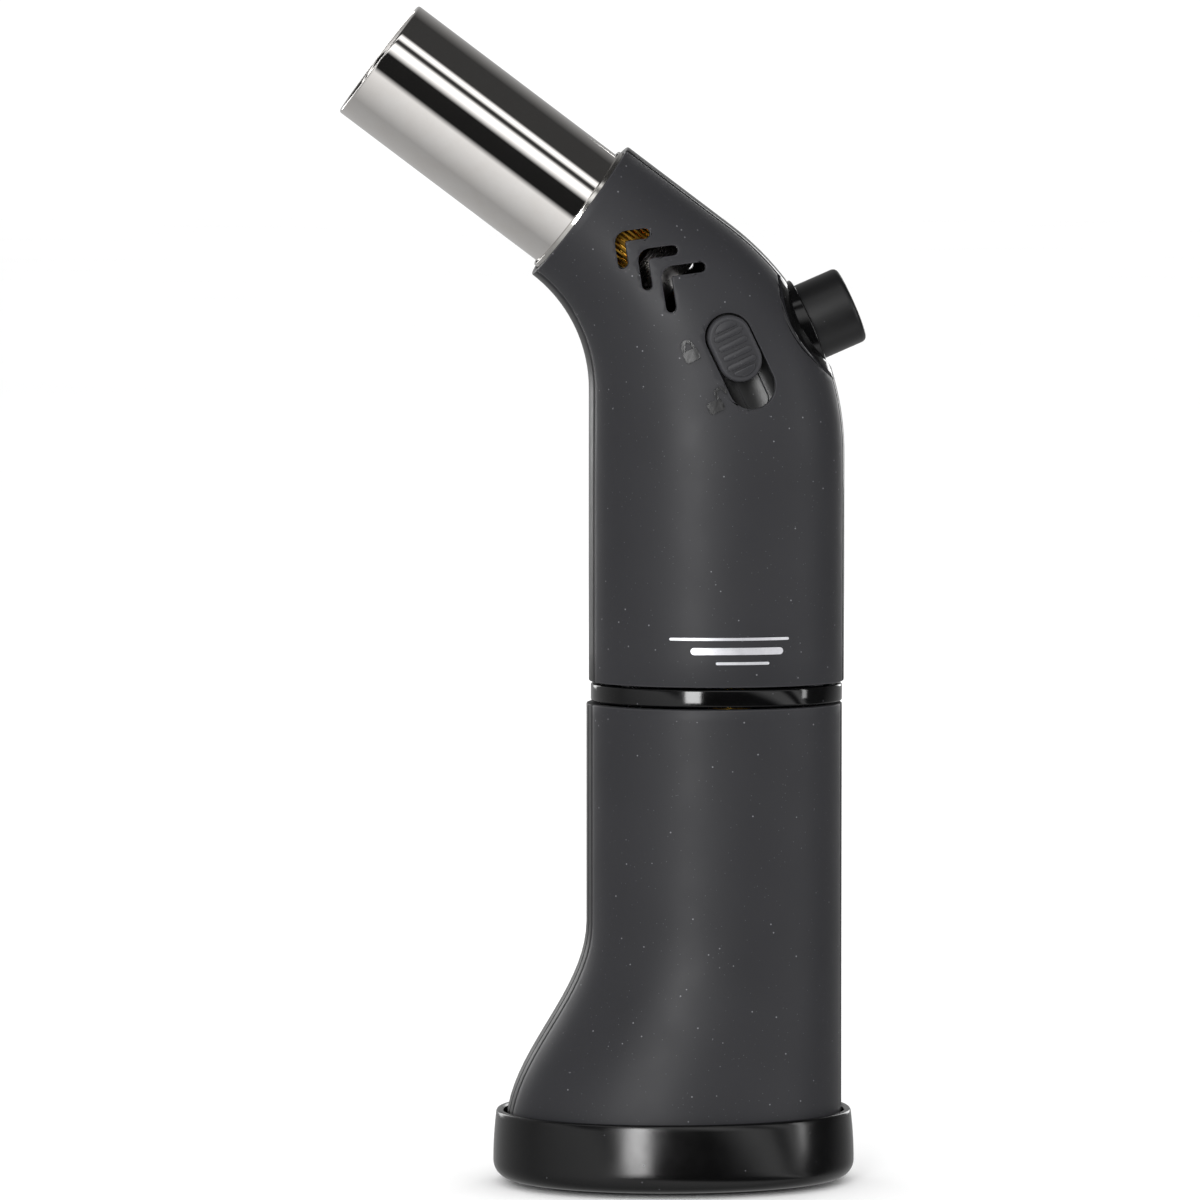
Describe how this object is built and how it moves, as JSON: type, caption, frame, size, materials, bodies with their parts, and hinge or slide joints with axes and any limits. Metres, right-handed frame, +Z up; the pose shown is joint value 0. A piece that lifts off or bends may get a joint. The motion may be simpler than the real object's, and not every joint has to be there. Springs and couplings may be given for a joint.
{
  "type": "butane torch",
  "caption": "Upright butane table torch: angled burner tube, oval grip in split shells, piezo button, lock slider and a wide base.",
  "frame": {"origin": "on the floor, on the middle of the rubber foot's cross rib, under the axis of the grip", "axes": "+Z up; the burner tube points toward -X and up; the side with the lock slider faces -Y"},
  "size_m": [0.0785, 0.0422, 0.1761],
  "materials": {
    "soft_touch": "soft-touch matt coating with a fine grain",
    "gloss_black": "gloss moulded",
    "satin_black": "satin moulded",
    "dark_chrome": "polished black-nickel plating",
    "steel": "plain nickel-plated",
    "brass": "machined",
    "rubber": "matt moulded",
    "ceramic": "unglazed steatite ceramic",
    "tank_plastic": "natural translucent nylon",
    "inner_plastic": "plain moulded",
    "piezo_plastic": "plain moulded",
    "lead_cover": "silicone wire sleeve"
  },
  "bodies": {
    "housing": {"upper_shell_near": "soft_touch", "upper_shell_far": "soft_touch", "lower_shell_near": "soft_touch", "lower_shell_far": "soft_touch", "upper_spine_front": "gloss_black", "upper_spine_back": "gloss_black", "lower_spine_front": "satin_black", "lower_spine_back": "satin_black", "trim_band": "gloss_black", "mid_deck": "inner_plastic", "deck_screw_1": "steel", "deck_screw_2": "steel", "base_ring": "satin_black", "base_plate": "inner_plastic", "foot_pad": "rubber", "base_screw_1": "steel", "base_screw_2": "steel", "base_screw_3": "steel", "base_screw_4": "steel", "burner_tube": "dark_chrome", "tube_seat_ring": "steel", "knurled_fitting": "brass", "mixing_tube": "steel", "burner_body": "steel", "gas_jet": "brass", "flame_holder": "ceramic", "electrode_insulator": "ceramic", "electrode": "steel", "ignition_lead": "lead_cover", "button_collar": "gloss_black", "button_spring": "steel", "piezo_body": "piezo_plastic", "lever_pin": "steel", "inner_frame": "inner_plastic", "valve_body": "brass", "valve_seal": "rubber", "valve_cap": "brass", "valve_spring": "steel", "gas_hose": "rubber", "fuel_tank": "tank_plastic", "tank_lid": "tank_plastic", "fill_valve_body": "brass", "fill_valve_spring": "steel", "regulator_cup": "brass", "slider_guide": "gloss_black"},
    "button": {"ignition_button": "satin_black", "piezo_plunger": "inner_plastic"},
    "lever": {"gas_lever": "steel"},
    "stem": {"valve_stem": "brass"},
    "slider": {"lock_slider": "soft_touch", "slider_clip": "steel"},
    "dial": {"flame_dial": "satin_black", "dial_spindle": "brass"},
    "fill_stem": {"fill_valve_stem": "brass"}
  },
  "joints": [
    {"name": "button_press", "type": "slide", "parent": "housing", "child": "button", "axis": [-0.9171, 0, -0.3987], "range_m": [0, 0.005], "stiffness_N_per_m": 1200, "springref_m": -0.002, "deforming": ["button_spring"]},
    {"name": "lever_turn", "type": "hinge", "parent": "housing", "child": "lever", "pos_m": [-0.00199, 0, 0.09942], "axis": [0, -1, 0], "range_deg": [0, 24]},
    {"name": "stem_lift", "type": "slide", "parent": "housing", "child": "stem", "axis": [0, 0, 1], "range_m": [0, 0.0017], "deforming": ["valve_spring"]},
    {"name": "lock_slide", "type": "slide", "parent": "housing", "child": "slider", "axis": [0.4267, 0, -0.9044], "range_m": [0, 0.0041]},
    {"name": "dial_turn", "type": "hinge", "parent": "housing", "child": "dial", "pos_m": [-0.019, 0, 0.002], "axis": [0, 0, 1], "range_deg": [-135, 135]},
    {"name": "fill_press", "type": "slide", "parent": "housing", "child": "fill_stem", "axis": [0, 0, 1], "range_m": [0, 0.0015], "stiffness_N_per_m": 300, "springref_m": -0.001, "deforming": ["fill_valve_spring"]}
  ],
  "couplings": [
    {"joint": "lever_turn", "follows": "button_press", "rad_per_m": 68.966},
    {"joint": "stem_lift", "follows": "button_press", "ratio": 0.27586}
  ]
}
